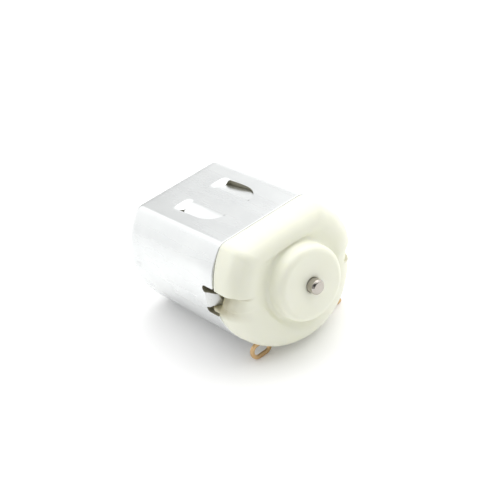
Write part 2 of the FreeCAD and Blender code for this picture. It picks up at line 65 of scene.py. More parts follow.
# (x, radius) of the pilot boss: its mouth and end, its foot on the front face, and its inside
PILOT_MOUTH = ((1.15, 1.52), (1.5, 1.52), (1.6, 1.62), (1.6, 2.2), (1.6, 2.82))
PILOT_FOOT = ((0.12, PILOT_RADIUS), (0.03, PILOT_RADIUS + 0.03), (0.0, PILOT_RADIUS + 0.12))
PILOT_INSIDE = ((-SHEET, 3.6), (-SHEET, 2.31), (1.15, 2.31))
# (gap to the rim, scale across) of the rings that round the rim's outer edge
RIM_EDGE = ((0.03, 0.9975), (0.0, 0.991))
RIM_START = 0.1
RIM_INSIDE_START = 0.06
RIM_INSIDE_SCALE = 1.006
WINDOW_INNER_Y = 1.9
WINDOW_OUTER_Y = 4.3
WINDOW_FRONT_X = -7.5
WINDOW_CURVE_X = -11.0
WINDOW_REAR_X = -14.8
WINDOW_CORNER = 0.4
WINDOW_POWER = 2.2
WINDOW_STEPS = 40
WINDOW_CUT_BELOW = 3
WINDOW_CUT_ABOVE = 1
# The pressed patch at a window's front: its depth, and where it begins and is full, along the can
# from the window's front edge and across it on each side
DRAW_DEPTH = 0.5
DRAW_FRONT = (1.2, -0.1)
DRAW_REAR = (-3.0, -0.6)
DRAW_INNER_Y = (1.7, 2.7)
DRAW_OUTER_Y = (4.5, 3.5)
FLAT_FROM_Z = 5.5
TAB_Z = 0.57
TAB_HALF = 1.1
TAB_ROOT_X = -18.3
TAB_CUT_LENGTH = CAN_LENGTH + TAB_ROOT_X
TAB_LENGTH = 2.1
TAB_TURN = math.radians(36)
TAB_TWIST = math.radians(13)
TAB_CURL = 0.10
TAB_THINNING = 0.35
SLIT_WIDTH = 0.9
SLIT_STEPS = 12
SLIT_FROM_Y = 7
SLIT_TO_Y = 12
TONGUE_ANGLES = {1: (15.0, 22.0), -1: (6.0, 20.0)}
TONGUE_GAP = 0.10
TONGUE_HIDDEN = 0.3
TONGUE_FOLD = 0.35
TONGUE_SUNK = 0.002
TONGUE_LONG, TONGUE_WIDE = 36, 16
DENT_X = -2.6
DENT_Z = 0.5
DENT_HALF_LENGTH = 0.7
DENT_HALF_HEIGHT = 0.8
DENT_DEPTH = 0.3
CREASE_Z = 0.62
CREASE_SLOPE = 0.01
CREASE_HALF_WIDTH = 0.22
CREASE_DEPTH = 0.045
CREASE_REAR = (-17.2, -14.0)
CREASE_FRONT = (-3.0, -5.0)
NEAR_SIDE_Y = 8

# Windings
WIRE_RADIUS = 0.15
WIRE_SHOWN = 0.98
WIRE_SIDES = 8
COIL_MIDDLE_X = -8.7
COIL_HALF_LENGTH = 5.84
COIL_HALF_WIDTH = 2.25
COIL_NECK = 1.11
COIL_BOTTOM = 2.37
COIL_TOP = 5.23
COIL_LAYERS = 4
COIL_CORNER = 0.95
COIL_CORNER_LEAST = 0.15
COIL_STEPS = 6

# End cap
CAP_SEAM_X = -20.05
SEAM_OPENING = 0.28
SEAM_CLOSED_Z = 7.2
SEAM_OPEN_Z = 2.6
SEAM_SIDE_Y = (5.0, 8.0)
# (share of the way to the rear, how far in) of the rings that round the skin's edge at the seam
SEAM_EDGE = ((0.0, 0.10), (0.004, 0.04), (0.014, 0.0))
CAP_REAR_X = -25.1
CAP_FRONT_X = -17.7
CAP_FLOOR_X = -24.0
CAP_SEAT_X = -22.97
BORE_RADIUS = 1.035
UPPER_RADIUS = 10.0
UPPER_HEIGHT = 7.5
UPPER_BEND = 1.55
UPPER_SIDE_ROUND = 2.6
UPPER_FLAT_ROUND = 2.2
LOWER_RADIUS = 9.8
LOWER_HEIGHT = 9.4
LOWER_POWER = 2.2
LOWER_SIDE_ROUND = 4.0
LOWER_FLAT_ROUND = 2.6
REAR_BEND = UPPER_BEND + 0.4
REAR_POWER = 2.0
BOSS_RADIUS = 5.0
BOSS_REAR_X = -27.4
BOSS_ROUND = 0.95
BOSS_FOOT = 0.45
FACE_DISH = 0.3
FACE_SHARES = (0.12, 0.3, 0.5, 0.7, 0.88)
# (radius, depth) of the shaft hole's soft edge, and (x, radius) inside the boss
HOLE_EDGE = (
    (3.2, 0.0), (2.0, 0.0), (1.3, 0.0), (1.09, 0.01), (1.06, 0.03), (1.05, 0.08),
    (BORE_RADIUS, 0.6))
BOSS_INSIDE = (
    (CAP_SEAT_X, BORE_RADIUS), (CAP_SEAT_X, 2.35), (CAP_SEAT_X - 0.05, 2.4), (CAP_FLOOR_X, 2.45))
ROOM_INSET = 1.95
ROOM_FLOOR_SHARE = 0.96
ROOM_FLOOR_ROUND = 0.3
ROOM_BEHIND_X = -19.5
ROOM_SIDE_Y = 6
ROOM_RINGS = (-22.8, -22.0, -21.2, -20.4, -19.8, -19.2, CAP_FRONT_X)
ROOM_BULGE = 1.3
ROOM_BULGE_SPARED = 0.9
PLUG_INSET = 0.87
PLUG_BEND = 0.5
PLUG_EDGE = 0.2
PLUG_FRONT_SHARE = 0.8
PLUG_TO_SKIN = 1.1
PLUG_SUNK = 0.02
# (x, share of the full depth) of the rings that carry the notch beside each tab
NOTCH_RINGS = ((-18.4, 0.0), (-18.65, 0.7), (-19.0, 1.0), (-19.6, 1.0), (-20.0, 1.0))
NOTCH_DEPTH = 1.6
NOTCH_FADE = 0.12
NOTCH_SIDE_Y = (5.0, 7.0)
LUG_HEIGHT = 0.6
LUG_FADE_LOW = 0.35
LUG_FADE_HIGH = 0.2
GROOVE_EDGE_Z = 2.4
GROOVE_LIP_BELOW = 0.13
GROOVE_LIP_ABOVE = 0.02
GROOVE_SIDE_Y = (4.0, 6.0)
GROOVE_DEPTH = 2.1
GROOVE_TAPER = 1.4
GROOVE_ROUNDNESS = 0.8
GROOVE_STEP = 0.3
GROOVE_STEP_FADES = 0.8
GROOVE_FAR_Z = -1.0
GROOVE_NARROWING = 1.0
GROOVE_FALL = 0.03
GROOVE_END_FALL = 0.6
GROOVE_FALL_X = -23.9
# Painted shade under each groove's sharp edge, where the overhang shades the recess: how far below
# the edge it fades in and is full, where it ends towards the rear, where it starts and is full
# across, and a thin darker painted line right under the edge near the rear face
GROOVE_SHADE_DEPTH = 4.2
GROOVE_SHADE_FULL_DEPTH = 2.9
GROOVE_SHADE_END_X = -24.8
GROOVE_SHADE_START_Y = 6.9
GROOVE_SHADE_FULL_Y = 7.5
GROOVE_SHADE_LINE_DEPTH = 0.5
GROOVE_SHADE_LINE_FULL = 0.2
GROOVE_SHADE_LINE_AMOUNT = 0.55

# How finely the outlines are divided: close together within EDGE_BAND of the groove's edge
EDGE_BAND = 0.2
SIDE_TOP_Z = 3.4
SIDE_EVEN_Z = 3.2
SIDE_BLEND_Z = 2.0
ROUND_SIDE_SHARE = 0.72
CORNER_COUNT = 14
FLAT_COUNT = 24
SHAFT_SIDES = 72
REAR_STEPS = 26
BOSS_FOOT_STEPS = 8
BOSS_STEPS = 12
PILOT_STEPS = 5
FRONT_STEPS = 10

# Faces that meet at more than this many degrees show a crease
RING_CREASE = 40.0
CAN_CREASE = 32
WIRE_CREASE = 60.0

# Rounded edges of the parts that keep their CAD shape, and the bend of the right terminal's eye
JOIN_DISTANCE = 1e-7
JOIN_ANGLE = math.radians(0.5)
BEVEL_SEGMENTS = 2
BEVEL_ANGLE = math.radians(30)
EYE_SHIFT = 0.55
EYE_SHIFT_START_Z = -8.9
EYE_SHIFT_FULL_Z = -9.7

# Materials
BUMP_DISTANCE = 0.0001
METAL_BLOTCH = 160.0
DULL_BLOTCH = 200.0
MIX_AMOUNT, MIX_FIRST, MIX_SECOND, MIX_RESULT = 0, 6, 7, 2

# Floor, in metres: it touches the can's front edge and the terminals' lower ends
FLOOR_FRONT = Vector((-0.0003, 0, -0.00757))
FLOOR_REAR = Vector((-0.0209, 0, -0.00978))
FLOOR_HALF = 1.5
FLOOR_GLOW = 0.08

# The one lamp, in metres and watts
LAMP_PLACE = Vector((0.12, -0.08, 0.8))
LAMP_AIM = Vector((-0.012, 0, 0))
LAMP_SIZE = 0.7
LAMP_POWER = 0.7

# Softly edged areas of the tent: the way each faces, the cosines where it fades in and is full,
# and its strength. The last is a dark opening, which the shaft's end reflects.
TENT_BASE = 0.11
TENT_AREAS = (
    ((0.0, -0.2, 1.0), 0.55, 0.95, 1.17),
    ((0.72, 0.38, 0.55), 0.76, 0.88, 0.80),
    ((0.0, -1.0, 0.35), 0.3, 0.9, 1.12),
    ((1.0, -0.2, 0.4), 0.3, 0.9, 0.39),
    ((-0.5, 0.9, 0.3), 0.3, 0.9, 0.40),
    ((-0.3, -0.7, 0.7), 0.6, 0.95, 0.24),
    ((-0.72, 0.40, 0.57), 0.92, 0.975, -0.42),
)


def held(value):
    """The value, kept between 0 and 1."""
    return min(max(value, 0.0), 1.0)


def smooth(low, high, value):
    """0 at low and before it, 1 at high and beyond, with a smooth step between."""
    t = held((value - low) / (high - low))
    return t * t * (3 - 2 * t)


def mix(a, b, t):
    return a + (b - a) * t


def spread(start, end, count):
    """Evenly spaced values from start, which is included, to end, which isn't."""
    return [mix(start, end, i / count) for i in range(count)]


# ---------------------------------------------------------------- materials

class Nodes:
    """A small helper that builds a material's node tree."""

    def __init__(self, name):
        self.material = bpy.data.materials.new(name)
        self.material.use_nodes = True
        self.tree = self.material.node_tree
        self.shader = self.tree.nodes["Principled BSDF"]
        coordinates = self.tree.nodes.new("ShaderNodeTexCoord")
        self.place = coordinates.outputs["Object"]

    def add(self, kind, inputs=(), **settings):
        node = self.tree.nodes.new(kind)
        for key, value in settings.items():
            setattr(node, key, value)
        for socket, value in dict(inputs).items():
            self.feed(node.inputs[socket], value)
        return node

    def feed(self, socket, value):
        """Links the socket to another one, or sets its value."""
        if isinstance(value, bpy.types.NodeSocket):
            self.tree.links.new(value, socket)
        else:
            socket.default_value = value

    def noise(self, scale, detail=4.0, stretch=(1, 1, 1), roughness=0.55):
        mapping = self.add("ShaderNodeMapping", {"Vector": self.place, "Scale": stretch})
        node = self.add("ShaderNodeTexNoise", {
            "Vector": mapping.outputs["Vector"], "Scale": scale, "Detail": detail,
            "Roughness": roughness})
        return node.outputs["Fac"]

    def ramp(self, value, low, high, low_out, high_out):
        node = self.add("ShaderNodeMapRange", {
            "Value": value, "From Min": low, "From Max": high, "To Min": low_out,
            "To Max": high_out})
        return node.outputs["Result"]

    def blend(self, amount, first, second):
        node = self.add("ShaderNodeMix", {
            MIX_AMOUNT: amount, MIX_FIRST: first, MIX_SECOND: second}, data_type="RGBA")
        return node.outputs[MIX_RESULT]

    def bump(self, height, strength):
        node = self.add("ShaderNodeBump", {
            "Height": height, "Strength": strength, "Distance": BUMP_DISTANCE})
        self.tree.links.new(node.outputs["Normal"], self.shader.inputs["Normal"])

    def set(self, **values):
        for socket, value in values.items():
            self.feed(self.shader.inputs[socket.replace("_", " ")], value)


def rgb(red, green, blue):
    return (red, green, blue, 1.0)


def metal(name, colour, darker, rough_low, rough_high, grain=(1, 1, 1), scale=900.0, bump=0.02):
    """A bare or plated metal with grain, blotches and uneven gloss."""
    m = Nodes(name)
    fine = m.noise(scale, 3.0, grain)
    broad = m.noise(METAL_BLOTCH, 4.0)
    m.set(Base_Color=m.blend(m.ramp(broad, 0.35, 0.7, 0, 1), rgb(*colour), rgb(*darker)))
    m.set(Metallic=1.0)
    m.set(Roughness=m.ramp(fine, 0.3, 0.7, rough_low, rough_high))
    m.bump(fine, bump)
    return m.material


def dull(name, colour, darker, rough_low, rough_high, scale=700.0, bump=0.1):
    """Moulded, pressed or fibre material: not metallic, faintly mottled."""
    m = Nodes(name)
    fine = m.noise(scale, 5.0)
    broad = m.noise(DULL_BLOTCH, 3.0)
    m.set(Base_Color=m.blend(m.ramp(broad, 0.3, 0.7, 0, 1), rgb(*colour), rgb(*darker)))
    m.set(Roughness=m.ramp(fine, 0.3, 0.7, rough_low, rough_high))
    m.bump(fine, bump)
    return m.material


def make_can_steel():
    """Zinc plating: a fine rolled grain along the can, faint clouds and light scuffs."""
    m = Nodes("can_steel")
    grain = m.noise(500.0, 4.0, (0.12, 1, 1))
    cloud = m.noise(140.0, 5.0)
    scuff = m.noise(420.0, 8.0, (1, 0.5, 0.5), 0.7)
    base = m.blend(m.ramp(cloud, 0.3, 0.7, 0, 1), rgb(0.775, 0.79, 0.785), rgb(0.71, 0.725, 0.725))
    base = m.blend(m.ramp(scuff, 0.62, 0.75, 0, 0.22), base, rgb(0.60, 0.61, 0.62))
    m.set(Base_Color=base, Metallic=1.0)
    m.set(Roughness=m.ramp(grain, 0.3, 0.7, 0.24, 0.30))
    m.bump(grain, 0.013)
    return m.material


def groove_grime(m):
    """Painted shade under the sharp edge of each groove, where the overhang shades the recess,
    thickest beside the can.
    """
    def sums(operation, first, second=0.0):
        return m.add("ShaderNodeMath", {0: first, 1: second}, operation=operation).outputs["Value"]

    axes = m.add("ShaderNodeSeparateXYZ", {"Vector": m.place}).outputs
    height = sums("MULTIPLY", axes["Z"], sums("SIGN", axes["Y"]))
    fall = m.ramp(axes["X"], CAP_REAR_X * MM, GROOVE_FALL_X * MM, GROOVE_END_FALL * MM, 0)
    below = sums("SUBTRACT", GROOVE_EDGE_Z * MM, sums("ADD", height, fall))
    broad = sums("MULTIPLY", m.ramp(below, GROOVE_SHADE_DEPTH * MM, GROOVE_SHADE_FULL_DEPTH * MM, 0, 1),
                 m.ramp(axes["X"], GROOVE_SHADE_END_X * MM, CAP_SEAM_X * MM, 0, 1))
    line = sums(
        "MULTIPLY",
        m.ramp(below, GROOVE_SHADE_LINE_DEPTH * MM, GROOVE_SHADE_LINE_FULL * MM, 0, GROOVE_SHADE_LINE_AMOUNT),
        m.ramp(axes["X"], (CAP_REAR_X - 0.05) * MM, (CAP_REAR_X + 0.3) * MM, 0, 1))
    amount = sums("MULTIPLY", sums("MAXIMUM", broad, line), m.ramp(below, 0.0, 0.1 * MM, 0, 1))
    outward = m.ramp(sums("ABSOLUTE", axes["Y"]), GROOVE_SHADE_START_Y * MM, GROOVE_SHADE_FULL_Y * MM, 0, 1)
    amount = sums("MULTIPLY", amount, outward)
    return sums("MULTIPLY", amount, m.ramp(m.noise(900.0, 4.0), 0.3, 0.7, 0.7, 1))


def make_cap_nylon():
    """Moulded nylon: milky ivory that lets light in, with a satin skin, and painted shade that
    darkens each groove to olive.
    """
    m = Nodes("cap_nylon")
    cloud = m.noise(120.0, 3.0)
    fine = m.noise(1600.0, 4.0)
    base = m.blend(m.ramp(cloud, 0.3, 0.7, 0, 1), rgb(0.855, 0.86, 0.735), rgb(0.835, 0.84, 0.705))
    # Painted shade: the groove's recess is blended towards dark olive
    m.set(Base_Color=m.blend(groove_grime(m), base, rgb(0.31, 0.26, 0.10)))
    m.set(Roughness=m.ramp(fine, 0.3, 0.7, 0.34, 0.46))
    m.set(Subsurface_Weight=0.2, Subsurface_Scale=0.0008)
    m.set(Subsurface_Radius=(1.0, 0.95, 0.6), IOR=1.5)
    m.bump(fine, 0.03)
    return m.material


def make_materials():
    return {
        "can_steel": make_can_steel(),
        # Cut sheet edges: a dull dark olive, partly the bare steel's own colour and partly painted
        # shade of the slits and the tab's end
        "can_edge": dull("can_edge", (0.30, 0.28, 0.20), (0.17, 0.16, 0.11), 0.4, 0.65, 1200.0),
        # Darker, rougher metal on the bent tabs: partly scuffs from bending, partly painted shade
        # for the tabs' dimmer reflection
        "can_tab_scuffed_and_shaded": metal("can_tab_scuffed_and_shaded", (0.69, 0.70, 0.69), (0.60, 0.61, 0.60), 0.25, 0.4),
        "cap_nylon": make_cap_nylon(),
        "terminal_brass": metal(
            "terminal_brass", (0.70, 0.48, 0.26), (0.52, 0.34, 0.17), 0.25, 0.45),
        "shaft_steel": metal(
            "shaft_steel", (0.52, 0.49, 0.45), (0.42, 0.39, 0.35), 0.06, 0.13, (12, 1, 1), 1500.0),
        "bearing_bronze": metal(
            "bearing_bronze", (0.60, 0.42, 0.24), (0.40, 0.27, 0.15), 0.45, 0.7, scale=3000.0,
            bump=0.25),
        "magnet_ferrite": dull(
            "magnet_ferrite", (0.07, 0.07, 0.075), (0.04, 0.04, 0.045), 0.55, 0.8, 1500.0, 0.3),
        "spring_steel": metal(
            "spring_steel", (0.52, 0.53, 0.55), (0.40, 0.41, 0.43), 0.25, 0.4, (0.2, 1, 1)),
        "core_steel": metal(
            "core_steel", (0.42, 0.43, 0.45), (0.28, 0.27, 0.27), 0.35, 0.55),
        "insulator_fibre": dull(
            "insulator_fibre", (0.74, 0.71, 0.60), (0.66, 0.62, 0.50), 0.55, 0.75),
        "winding_copper": metal(
            "winding_copper", (0.72, 0.27, 0.10), (0.55, 0.17, 0.06), 0.18, 0.3, scale=1500.0),
        "commutator_plastic": dull(
            "commutator_plastic", (0.055, 0.035, 0.025), (0.035, 0.02, 0.015), 0.35, 0.5),
        "commutator_copper": metal(
            "commutator_copper", (0.80, 0.42, 0.28), (0.55, 0.26, 0.16), 0.2, 0.4, (14, 1, 1)),
        "brush_carbon": dull(
            "brush_carbon", (0.035, 0.033, 0.032), (0.06, 0.045, 0.035), 0.5, 0.75, 2500.0, 0.3),
        "spring_bronze": metal(
            "spring_bronze", (0.76, 0.52, 0.30), (0.62, 0.40, 0.20), 0.22, 0.36, (1, 1, 0.15)),
        "washer_fibre": dull(
            "washer_fibre", (0.20, 0.09, 0.045), (0.13, 0.055, 0.03), 0.6, 0.85, 1800.0, 0.3),
    }


# ---------------------------------------------------------------- mesh helpers

def facing_out(name, points, faces):
    """A mesh from points in millimetres, with its faces turned outward."""
    mesh = bpy.data.meshes.new(name)
    mesh.from_pydata([tuple(v * MM for v in p) for p in points], [], faces)
    bm = bmesh.new()
    bm.from_mesh(mesh)
    bmesh.ops.recalc_face_normals(bm, faces=bm.faces)
    bm.to_mesh(mesh)
    bm.free()
    return mesh


def placed(name, data):
    """A new object in the scene."""
    thing = bpy.data.objects.new(name, data)
    bpy.context.scene.collection.objects.link(thing)
    return thing


def shade(piece, sharp):
    """Smooth shading, with a crease where faces meet at more than the angle sharp."""
    piece.data.shade_smooth()
    piece.data.set_sharp_from_angle(angle=sharp)


def apply_modifiers(piece):
    bpy.context.view_layer.update()
    graph = bpy.context.evaluated_depsgraph_get()
    mesh = bpy.data.meshes.new_from_object(piece.evaluated_get(graph))
    piece.modifiers.clear()
    piece.data = mesh


def new_piece(name, points, faces, body, slot, replaces=(), sharp=35.0):
    """A smooth-shaded mesh piece, its points given in millimetres."""
    piece = placed(name, facing_out(name, points, faces))
    shade(piece, math.radians(sharp))
    dress(piece, slot)
    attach(piece, body)
    if replaces:
        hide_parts(*replaces)
    return piece


def dress(piece, slot):
    piece.data.materials.clear()
    piece.data.materials.append(MATERIALS[slot])


def loop_faces(across, along, close_along=True):
    """Faces between closed rings of points: along rings, each of across points."""
    faces = []
    for j in range(along if close_along else along - 1):
        n = (j + 1) % along
        for i in range(across):
            k = (i + 1) % across
            faces.append((j * across + i, j * across + k, n * across + k, n * across + i))
    return faces


def circle(x, radius, angles):
    """A ring of points round the shaft axis, one at each angle."""
    return [(x, radius * math.cos(a), radius * math.sin(a)) for a in angles]


def joined(rings):
    """The points of all the rings in one list."""
    return [p for ring in rings for p in ring]


# ---------------------------------------------------------------- outlines

def side_levels(top_z, edge_z):
    """Heights on a round side, close together at the groove's edge."""
    return (spread(0.0, edge_z - EDGE_BAND, 10)
            + spread(edge_z - EDGE_BAND, edge_z + EDGE_BAND, 16)
            + spread(edge_z + EDGE_BAND, SIDE_TOP_Z, 4) + spread(SIDE_TOP_Z, top_z, 16))


def flat_quarter(radius, height, bend, edge_z=GROOVE_EDGE_Z):
    """(y, z) from z = 0 on the round side to y = 0 on the flat, of a flat-sided round outline."""
    bend_z = height - bend
    bend_y = math.sqrt((radius - bend) ** 2 - bend_z ** 2)
    top_z = bend_z * radius / (radius - bend)
    points = [(math.sqrt(radius ** 2 - z ** 2), z) for z in side_levels(top_z, edge_z)]
    start = math.atan2(bend_z, bend_y)
    for i in range(CORNER_COUNT):
        a = mix(start, math.pi / 2, i / CORNER_COUNT)
        points.append((bend_y + bend * math.cos(a), bend_z + bend * math.sin(a)))
    for i in range(FLAT_COUNT + 1):
        points.append((mix(bend_y, 0.0, i / FLAT_COUNT), height))
    return points


def round_quarter(half_width, height, power, edge_z):
    """(y, z) with the same count of points, on a superellipse."""
    top_z = height * ROUND_SIDE_SHARE
    points = [(half_width * (1 - (z / height) ** power) ** (1 / power), z)
              for z in side_levels(top_z, edge_z)]
    start = math.asin(ROUND_SIDE_SHARE ** (power / 2))
    count = CORNER_COUNT + FLAT_COUNT
    for i in range(count + 1):
        a = mix(start, math.pi / 2, i / count)
        points.append((half_width * max(math.cos(a), 0.0) ** (2 / power),
                       height * math.sin(a) ** (2 / power)))
    return points


def whole(top, bottom):
    """A closed outline from two quarters: up the +Y side, over the top, down and back under."""
    return (top + [(-y, z) for y, z in top[-2::-1]]
            + [(-y, -z) for y, z in bottom[1:]] + [(y, -z) for y, z in bottom[-2:0:-1]])


def can_outline(inset, bend):
    """The can's outline moved in by inset, with its corners bent to a radius."""
    quarter = flat_quarter(CAN_RADIUS - inset, CAN_HEIGHT - inset, bend)
    return whole(quarter, quarter)


def side_of(y):
    return 1 if y > 0 else -1


# ---------------------------------------------------------------- end cap

def edge_height(x):
    """The groove's sharp edge is nearly level, and falls at the end where it runs out."""
    end_fall = GROOVE_END_FALL * smooth(GROOVE_FALL_X, CAP_REAR_X, x)
    return GROOVE_EDGE_Z - GROOVE_FALL * (CAP_SEAM_X - x) - end_fall


def cap_sections(edge_z):
    """The cap's outline at the seam, at its fullest, and where the rounding meets the rear face."""
    upper = flat_quarter(UPPER_RADIUS, UPPER_HEIGHT, UPPER_BEND, edge_z)
    seam = whole(upper, upper)
    full = whole(upper, round_quarter(LOWER_RADIUS, LOWER_HEIGHT, LOWER_POWER, edge_z))
    rear_upper = flat_quarter(
        UPPER_RADIUS - UPPER_SIDE_ROUND, UPPER_HEIGHT - UPPER_FLAT_ROUND, REAR_BEND, edge_z)
    rear_lower = round_quarter(
        LOWER_RADIUS - LOWER_SIDE_ROUND, LOWER_HEIGHT - LOWER_FLAT_ROUND, REAR_POWER, edge_z)
    return seam, full, blend_sides(full, whole(rear_upper, rear_lower))


def blend_sides(full, inner):
    """Moves the inner outline so that the side rounding changes evenly from top to bottom."""
    moved = []
    for (y, z), (inner_y, inner_z) in zip(full, inner):
        if abs(z) < SIDE_TOP_Z:
            size = mix(LOWER_SIDE_ROUND, UPPER_SIDE_ROUND, smooth(-SIDE_EVEN_Z, SIDE_EVEN_Z, z))
            even = math.copysign(abs(y) - size, y)
            inner_y = mix(even, inner_y, smooth(SIDE_BLEND_Z, SIDE_EVEN_Z, abs(z)))
        moved.append((inner_y, inner_z))
    return moved


def groove_push(x, y, z):
    """The +Y side's groove: how far the skin is pressed in at a point of that side."""
    along = held((CAP_SEAM_X - x) / (CAP_SEAM_X - CAP_REAR_X))
    top = edge_height(x)
    far = GROOVE_FAR_Z + GROOVE_NARROWING * along
    share = held((z - far) / (top - far))
    step = GROOVE_STEP * smooth(1.0, GROOVE_STEP_FADES, along)
    depth = (GROOVE_DEPTH * (1 - along ** GROOVE_TAPER) + step) * share ** GROOVE_ROUNDNESS
    edge = 1 - smooth(top - GROOVE_LIP_BELOW, top + GROOVE_LIP_ABOVE, z)
    return depth * edge * smooth(*GROOVE_SIDE_Y, y)


def grooved(x, y, z):
    """A point of the cap's skin, pushed in where a groove crosses it."""
    side = side_of(y)
    return (x, y - side * groove_push(x, side * y, side * z), z)


def room_wall(x, y, z):
    """A point of the cap's inside wall, which bulges inward behind a groove."""
    side = side_of(y)
    if x > ROOM_BEHIND_X:
        return (x, y, z)
    at_side = side * y > ROOM_SIDE_Y
    bulge = ROOM_BULGE * groove_push(x, LOWER_RADIUS, side * z) if at_side else 0.0
    return (x, y - side * max(bulge - ROOM_BULGE_SPARED, 0.0), z)


def notched(x, y, z, share):
    """A point of the plug inside the can: let in behind the bent tab, with a lug in the slit."""
    side = side_of(y)
    level = side * z - TAB_Z
    notch = 1 - smooth(TAB_HALF, TAB_HALF + NOTCH_FADE, abs(level))
    slit_z = -TAB_HALF - SLIT_WIDTH
    lug = (smooth(slit_z, slit_z + LUG_FADE_LOW, level)
           * smooth(-TAB_HALF, -TAB_HALF - LUG_FADE_HIGH, level))
    push = (NOTCH_DEPTH * notch - LUG_HEIGHT * lug) * share * smooth(*NOTCH_SIDE_Y, side * y)
    return (x, y - side * push, z)


def seam_x(y, z):
    """The cap stands a little further back from the can beside the crimp tabs."""
    side = side_of(y)
    opening = SEAM_OPENING * smooth(SEAM_CLOSED_Z, SEAM_OPEN_Z, side * z)
    return CAP_SEAM_X - opening * smooth(*SEAM_SIDE_Y, side * y)


def rounding(size):
    """The rear rounding's length along the shaft, for its size across."""
    return min(size, LOWER_SIDE_ROUND)


def cap_skin():
    """Rings of points over the cap's outside, from the seam to the edge of the rear face."""
    rings = []
    for share, inset in list(SEAM_EDGE) + [(s, 0.0) for s in spread(0.05, 1.0, 16)]:
        kept = 1 - inset / UPPER_RADIUS
        drop = math.sin(share * math.pi / 2)
        middle = mix(CAP_SEAM_X, CAP_REAR_X + UPPER_SIDE_ROUND, share)
        ring = []
        for (ya, za), (yb, zb), (yc, zc) in zip(*cap_sections(edge_height(middle))):
            size = math.hypot(yb - yc, zb - zc)
            x = mix(seam_x(ya, za), CAP_REAR_X + rounding(size), share)
            ring.append(grooved(x, mix(ya, yb, drop) * kept, mix(za, zb, drop) * kept))
        rings.append(ring)
    for i in range(REAR_STEPS + 1):
        turn = math.pi / 2 * i / REAR_STEPS
        share = 1 - math.cos(turn)
        middle = CAP_REAR_X + UPPER_SIDE_ROUND * (1 - math.sin(turn))
        ring = []
        for (ya, za), (yb, zb), (yc, zc) in zip(*cap_sections(edge_height(middle))):
            size = rounding(math.hypot(yb - yc, zb - zc))
            x = CAP_REAR_X + size * (1 - math.sin(turn))
            ring.append(grooved(x, mix(yb, yc, share), mix(zb, zc, share)))
        rings.append(ring)
    return rings


def boss_rings(last, angles):
    """Rings over the dished rear face, round the boss and in through the shaft hole."""
    face_x = CAP_REAR_X + FACE_DISH
    target = circle(face_x, BOSS_RADIUS + BOSS_FOOT, angles)
    rings = []
    for share in FACE_SHARES:
        depth = CAP_REAR_X + FACE_DISH * smooth(0.0, 1.0, share)
        rings.append([(depth, mix(p[1], t[1], share), mix(p[2], t[2], share))
                      for p, t in zip(last, target)])
    for i in range(BOSS_FOOT_STEPS + 1):
        a = math.pi / 2 * i / BOSS_FOOT_STEPS
        rings.append(circle(face_x - BOSS_FOOT + BOSS_FOOT * math.cos(a),
                            BOSS_RADIUS + BOSS_FOOT - BOSS_FOOT * math.sin(a), angles))
    for i in range(BOSS_STEPS + 1):
        a = math.pi / 2 * i / BOSS_STEPS
        rings.append(circle(BOSS_REAR_X + BOSS_ROUND - BOSS_ROUND * math.sin(a),
                            BOSS_RADIUS - BOSS_ROUND + BOSS_ROUND * math.cos(a), angles))
    rings += [circle(BOSS_REAR_X + depth, radius, angles) for radius, depth in HOLE_EDGE]
    rings += [circle(x, radius, angles) for x, radius in BOSS_INSIDE]
    return rings


def room_rings():
    """Rings over the cap's floor, up its inside wall and back down the plug to the seam."""
    inner = can_outline(ROOM_INSET, PLUG_BEND)
    plug = can_outline(PLUG_INSET, PLUG_BEND)
    rings = [[(CAP_FLOOR_X, y * ROOM_FLOOR_SHARE, z * ROOM_FLOOR_SHARE) for y, z in inner]]
    for x in (CAP_FLOOR_X + ROOM_FLOOR_ROUND,) + ROOM_RINGS:
        rings.append([room_wall(x, y, z) for y, z in inner])
    across = PLUG_FRONT_SHARE
    rings.append([(CAP_FRONT_X, mix(a[0], b[0], across), mix(a[1], b[1], across))
                  for a, b in zip(inner, plug)])
    rings.append([(CAP_FRONT_X - PLUG_EDGE, y, z) for y, z in plug])
    for x, share in NOTCH_RINGS:
        rings.append([notched(x, y, z, share) for y, z in plug])
    seam = [seam_x(y * PLUG_TO_SKIN, z * PLUG_TO_SKIN) - PLUG_SUNK for y, z in plug]
    rings.append([grooved(*notched(x, y, z, 1.0)) for x, (y, z) in zip(seam, plug)])
    return rings


def make_end_cap():
    rings = cap_skin()
    last = rings[-1]
    angles = [math.atan2(z, y) for x, y, z in last]
    rings += boss_rings(last, angles) + room_rings()
    faces = loop_faces(len(angles), len(rings))
    new_piece("end_cap_moulding", joined(rings), faces, "stator", "cap_nylon", ("end_cap",),
              RING_CREASE)



# ---------------------------------------------------------------- can

def window_edge(x):
    """How far the window's curved edge stands from the middle plane at x, or none outside it."""
    if x > WINDOW_FRONT_X or x < WINDOW_REAR_X:
        return WINDOW_INNER_Y
    if x > WINDOW_CURVE_X:
        corner = max(x - (WINDOW_FRONT_X - WINDOW_CORNER), 0.0) / WINDOW_CORNER
        return WINDOW_OUTER_Y - WINDOW_CORNER * (1 - math.sqrt(max(1 - corner * corner, 0.0)))
    reach = (x - WINDOW_CURVE_X) / (WINDOW_REAR_X - WINDOW_CURVE_X)
    return WINDOW_INNER_Y + (WINDOW_OUTER_Y - WINDOW_INNER_Y) * math.sqrt(
        max(1 - reach ** WINDOW_POWER, 0.0))


